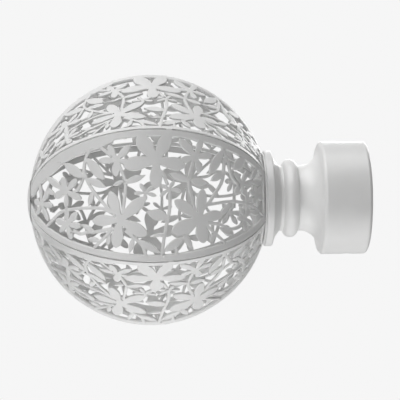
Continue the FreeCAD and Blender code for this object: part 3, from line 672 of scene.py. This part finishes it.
def neck_profile():
    """The neck and cup, from the spigot's end to the socket's floor, in metres."""
    profile = [(SPIGOT_END, 0.0), (SPIGOT_END, SPIGOT_RADIUS), (COLLAR_FACE, SPIGOT_RADIUS)]
    profile += [(COLLAR_FACE, COLLAR_RADIUS), (FLANGE_FACE, COLLAR_RADIUS)]
    profile += arc((FLANGE_FACE + FLANGE_ROUND, FLANGE_SIDE), FLANGE_ROUND, 180, 90)
    profile += arc((FLANGE_BACK - FLANGE_ROUND, FLANGE_SIDE), FLANGE_ROUND, 90, 0)
    profile += arc_through((TAPER_FOOT, NECK_RADIUS), (FLANGE_BACK, FLANGE_SIDE), TAPER_HOLLOW)[::-1]
    profile += arc_through((BEAD_START, NECK_RADIUS), (BEAD_END, NECK_RADIUS), BEAD_ARC, FINE_ARC_STEPS)
    profile += arc_through((CUP_STEP, COVE_TOP), (COVE_START, NECK_RADIUS), COVE_ARC, FINE_ARC_STEPS)[::-1]
    profile += arc((CUP_STEP + SHOULDER_ROUND, CUP_RADIUS - SHOULDER_ROUND), SHOULDER_ROUND, 180, 90)
    profile += arc((-RIM_ROUND, CUP_RADIUS - RIM_ROUND), RIM_ROUND, 90, 0)
    profile += [(0.0, BORE_RADIUS + MOUTH_CHAMFER), (-MOUTH_CHAMFER, BORE_RADIUS)]
    profile += [(SOCKET_FLOOR, BORE_RADIUS), (SOCKET_FLOOR, 0.0)]
    return [(x * MM, radius * MM) for x, radius in profile]


def cut_hole(mesh, centre, direction, radius, length):
    """A closed mesh with a round hole cut through it. Neither the cutter nor the old mesh is kept."""
    body = bpy.data.objects.new("hole_body", mesh)
    tool_mesh = bmesh.new()
    turn = direction.to_track_quat("Z", "Y").to_matrix().to_4x4()
    half_side = Matrix.Rotation(math.pi / HOLE_SIDES, 4, "Z")
    bmesh.ops.create_cone(
        tool_mesh, cap_ends=True, segments=HOLE_SIDES, radius1=radius, radius2=radius, depth=length,
        matrix=Matrix.Translation(centre) @ turn @ half_side)
    cutter_mesh = bpy.data.meshes.new("hole_cutter")
    tool_mesh.to_mesh(cutter_mesh)
    tool_mesh.free()
    cutter = bpy.data.objects.new("hole_cutter", cutter_mesh)
    for item in (body, cutter):
        bpy.context.scene.collection.objects.link(item)
    cut = body.modifiers.new("Hole", "BOOLEAN")
    cut.object = cutter
    cut.operation = "DIFFERENCE"
    cut.solver = "EXACT"
    bpy.context.view_layer.update()
    result = bpy.data.meshes.new_from_object(body.evaluated_get(bpy.context.evaluated_depsgraph_get()))
    bpy.data.objects.remove(body)
    bpy.data.objects.remove(cutter)
    bpy.data.meshes.remove(cutter_mesh)
    name = mesh.name
    bpy.data.meshes.remove(mesh)
    result.name = name
    return result


class FINIAL_OT_neck(bpy.types.Operator):
    """Turn and paint the neck with its socket"""

    bl_idname = "finial.neck"
    bl_label = "Neck and socket"

    def execute(self, context):
        sizes, looks = context.scene.finial_sizes, context.scene.finial_looks
        solid = turned_mesh("neck_turning", neck_profile(), sizes.turn_steps, sizes.turned_edge_round)
        wall_middle = (NECK_HIGH.z + BORE_RADIUS * MM) / 2
        mesh = cut_hole(
            solid, Vector((SCREW_PLACE * MM, 0, -wall_middle)), Vector((0, 0, -1)),
            SCREW_HOLE_RADIUS * MM, HOLE_LENGTH * MM)
        neck = finished_piece("turned_neck", mesh, paint_material(looks), "neck_socket")
        shade_evenly(neck)
        return {"FINISHED"}


class FINIAL_OT_tip(bpy.types.Operator):
    """Turn and paint the button that closes the tip"""

    bl_idname = "finial.tip"
    bl_label = "Tip button"

    def execute(self, context):
        sizes, looks = context.scene.finial_sizes, context.scene.finial_looks
        crown, shank_end, head = BUTTON_LOW.x, BUTTON_HIGH.x, BUTTON_HIGH.z
        dome, shank, hole = sizes.tip_dome_height, sizes.tip_shank_radius, sizes.tip_hole_radius
        corner = math.cos(math.pi / sizes.panel_count)
        radius = (head ** 2 + dome ** 2) / (2 * dome)
        spread = math.degrees(math.asin(head / radius))
        under = sizes.end_bend_radius / corner ** 2
        under_spread = math.degrees(math.asin(head / under))
        seat_spread = math.degrees(math.asin(hole / corner / under))
        pole = sizes.ball_centre - sizes.ball_half_length
        seat = sizes.ball_centre - (sizes.ball_half_length - sizes.end_bend_radius
                                    + math.sqrt(sizes.end_bend_radius ** 2 - hole ** 2))
        profile = [(shank_end, 0.0), (shank_end, shank), (seat, shank)]
        profile += arc(
            (pole + under, 0.0), under, 180 - seat_spread, 180 - under_spread, SHORT_ARC_STEPS)
        profile += arc((crown + radius, 0.0), radius, 180 - spread, 180, FINE_ARC_STEPS)
        mesh = turned_mesh("tip_turning", profile, sizes.turn_steps // 2, sizes.turned_edge_round)
        button = finished_piece("button_on_tip", mesh, paint_material(looks), "tip_button")
        return {"FINISHED"}


class FINIAL_OT_screw(bpy.types.Operator):
    """Plate the grub screw under the cup"""

    bl_idname = "finial.screw"
    bl_label = "Grub screw"

    def execute(self, context):
        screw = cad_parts["grub_screw"]
        screw.data.materials.clear()
        screw.data.materials.append(steel_material(context.scene.finial_looks))
        return {"FINISHED"}


# Camera and stage
def camera_place(ball_centre):
    """The photo's camera in the part's own frame."""
    part = (Matrix.Translation(PART_SHIFT)
            @ Matrix.Rotation(-PART_ROLL, 4, "Y")
            @ Matrix.Rotation(PART_YAW, 4, "Z")
            @ Matrix.Rotation(-PANEL_TURN, 4, "X")
            @ Matrix.Translation((-ball_centre, 0, 0)))
    eye = Matrix.Translation((0, -CAMERA_DISTANCE, 0)) @ Matrix.Rotation(math.radians(90), 4, "X")
    return part.inverted() @ eye


def page_material(looks):
    """Pale floor that fades into the background away from the object."""
    material, nodes, links = new_material("pale_page")
    output = nodes.new("ShaderNodeOutputMaterial")
    paper = nodes.new("ShaderNodeBsdfDiffuse")
    paper.inputs["Color"].default_value = (*looks.page_colour, 1.0)
    glow = nodes.new("ShaderNodeEmission")
    glow.inputs["Color"].default_value = (*looks.page_colour, 1.0)
    place = nodes.new("ShaderNodeTexCoord")
    reach = nodes.new("ShaderNodeVectorMath")
    reach.operation = "LENGTH"
    fade = nodes.new("ShaderNodeMapRange")
    fade.inputs["From Min"].default_value = FADE_START
    fade.inputs["From Max"].default_value = FADE_END
    paths = nodes.new("ShaderNodeLightPath")
    seen = nodes.new("ShaderNodeMath")
    seen.operation = "MULTIPLY"
    mix = nodes.new("ShaderNodeMixShader")
    links.new(place.outputs["Object"], reach.inputs[0])
    links.new(reach.outputs["Value"], fade.inputs["Value"])
    links.new(fade.outputs["Result"], seen.inputs[0])
    links.new(paths.outputs["Is Camera Ray"], seen.inputs[1])
    links.new(seen.outputs["Value"], mix.inputs["Fac"])
    links.new(paper.outputs["BSDF"], mix.inputs[1])
    links.new(glow.outputs["Emission"], mix.inputs[2])
    links.new(mix.outputs["Shader"], output.inputs["Surface"])
    return material


def add_camera(scene, ball_centre):
    camera_data = bpy.data.cameras.new("photo_camera")
    camera_data.sensor_width = SENSOR_WIDTH
    camera_data.lens = SENSOR_WIDTH * FOCAL_PIXELS / PHOTO_PIXELS
    camera_data.clip_start = 0.01
    camera_data.clip_end = 20.0
    camera = bpy.data.objects.new("photo_camera", camera_data)
    camera.matrix_world = camera_place(ball_centre)
    scene.collection.objects.link(camera)
    scene.camera = camera


def add_lamp(scene, name, place, side, power):
    """A soft square lamp, pointed at the finial, that the camera doesn't see."""
    lamp = bpy.data.lights.new(name, "AREA")
    lamp.shape = "SQUARE"
    lamp.size = side
    lamp.energy = power
    item = bpy.data.objects.new(name, lamp)
    item.visible_camera = False
    turn = (LAMP_TARGET - Vector(place)).to_track_quat("-Z", "Y").to_matrix().to_4x4()
    item.matrix_world = Matrix.Translation(place) @ turn
    scene.collection.objects.link(item)


def add_floor(scene, looks):
    floor_mesh = bmesh.new()
    bmesh.ops.create_grid(floor_mesh, x_segments=1, y_segments=1, size=FLOOR_HALF_SIDE)
    mesh = bpy.data.meshes.new("pale_floor")
    floor_mesh.to_mesh(mesh)
    floor_mesh.free()
    mesh.transform(Matrix.Translation((0, 0, FLOOR_HEIGHT)))
    mesh.materials.append(page_material(looks))
    floor = bpy.data.objects.new("pale_floor", mesh)
    scene.collection.objects.link(floor)


def add_room(scene, looks):
    """A dim even room, with the pale background where the camera or a reflection sees it."""
    world = bpy.data.worlds.new("pale_room")
    scene.world = world
    world.use_nodes = True
    nodes, links = world.node_tree.nodes, world.node_tree.links
    nodes.clear()
    output = nodes.new("ShaderNodeOutputWorld")
    paths = nodes.new("ShaderNodeLightPath")
    page = nodes.new("ShaderNodeBackground")
    page.inputs["Color"].default_value = (*looks.page_colour, 1.0)
    room = nodes.new("ShaderNodeBackground")
    room.inputs["Color"].default_value = (1.0, 1.0, 1.0, 1.0)
    room.inputs["Strength"].default_value = ROOM_LIGHT
    mix = nodes.new("ShaderNodeMixShader")
    seen = paths.outputs["Is Camera Ray"]
    for kind in ("Is Glossy Ray", "Is Transmission Ray"):
        either = nodes.new("ShaderNodeMath")
        either.operation = "MAXIMUM"
        links.new(seen, either.inputs[0])
        links.new(paths.outputs[kind], either.inputs[1])
        seen = either.outputs["Value"]
    links.new(seen, mix.inputs["Fac"])
    links.new(room.outputs["Background"], mix.inputs[1])
    links.new(page.outputs["Background"], mix.inputs[2])
    links.new(mix.outputs["Shader"], output.inputs["Surface"])


class FINIAL_OT_stage(bpy.types.Operator):
    """Set up the camera, the lamps and the pale floor"""

    bl_idname = "finial.stage"
    bl_label = "Camera and stage"

    def execute(self, context):
        scene = context.scene
        scene.view_settings.view_transform = "Standard"
        add_camera(scene, scene.finial_sizes.ball_centre)
        for name, place, side, power in LAMPS:
            add_lamp(scene, name, place, side, power)
        add_floor(scene, scene.finial_looks)
        add_room(scene, scene.finial_looks)
        return {"FINISHED"}


class FINIAL_PT_panel(bpy.types.Panel):
    bl_label = "Openwork pole finial"
    bl_idname = "FINIAL_PT_panel"
    bl_space_type = "VIEW_3D"
    bl_region_type = "UI"
    bl_category = "Finial"

    def draw(self, context):
        layout = self.layout
        for group in (context.scene.finial_sizes, context.scene.finial_looks):
            column = layout.column()
            for name in group.__annotations__:
                column.prop(group, name)
        for step in STEPS:
            layout.operator(step.bl_idname)


STEPS = (FINIAL_OT_panels, FINIAL_OT_neck, FINIAL_OT_tip, FINIAL_OT_screw, FINIAL_OT_stage)
CLASSES = (FinialSizes, FinialLooks, *STEPS, FINIAL_PT_panel)


def register():
    for item in CLASSES:
        bpy.utils.register_class(item)
    bpy.types.Scene.finial_sizes = PointerProperty(type=FinialSizes)
    bpy.types.Scene.finial_looks = PointerProperty(type=FinialLooks)


def unregister():
    del bpy.types.Scene.finial_looks
    del bpy.types.Scene.finial_sizes
    for item in reversed(CLASSES):
        bpy.utils.unregister_class(item)


def main():
    register()
    bpy.ops.finial.panels()
    bpy.ops.finial.neck()
    bpy.ops.finial.tip()
    bpy.ops.finial.screw()
    bpy.ops.finial.stage()


if __name__ == "__main__":
    main()
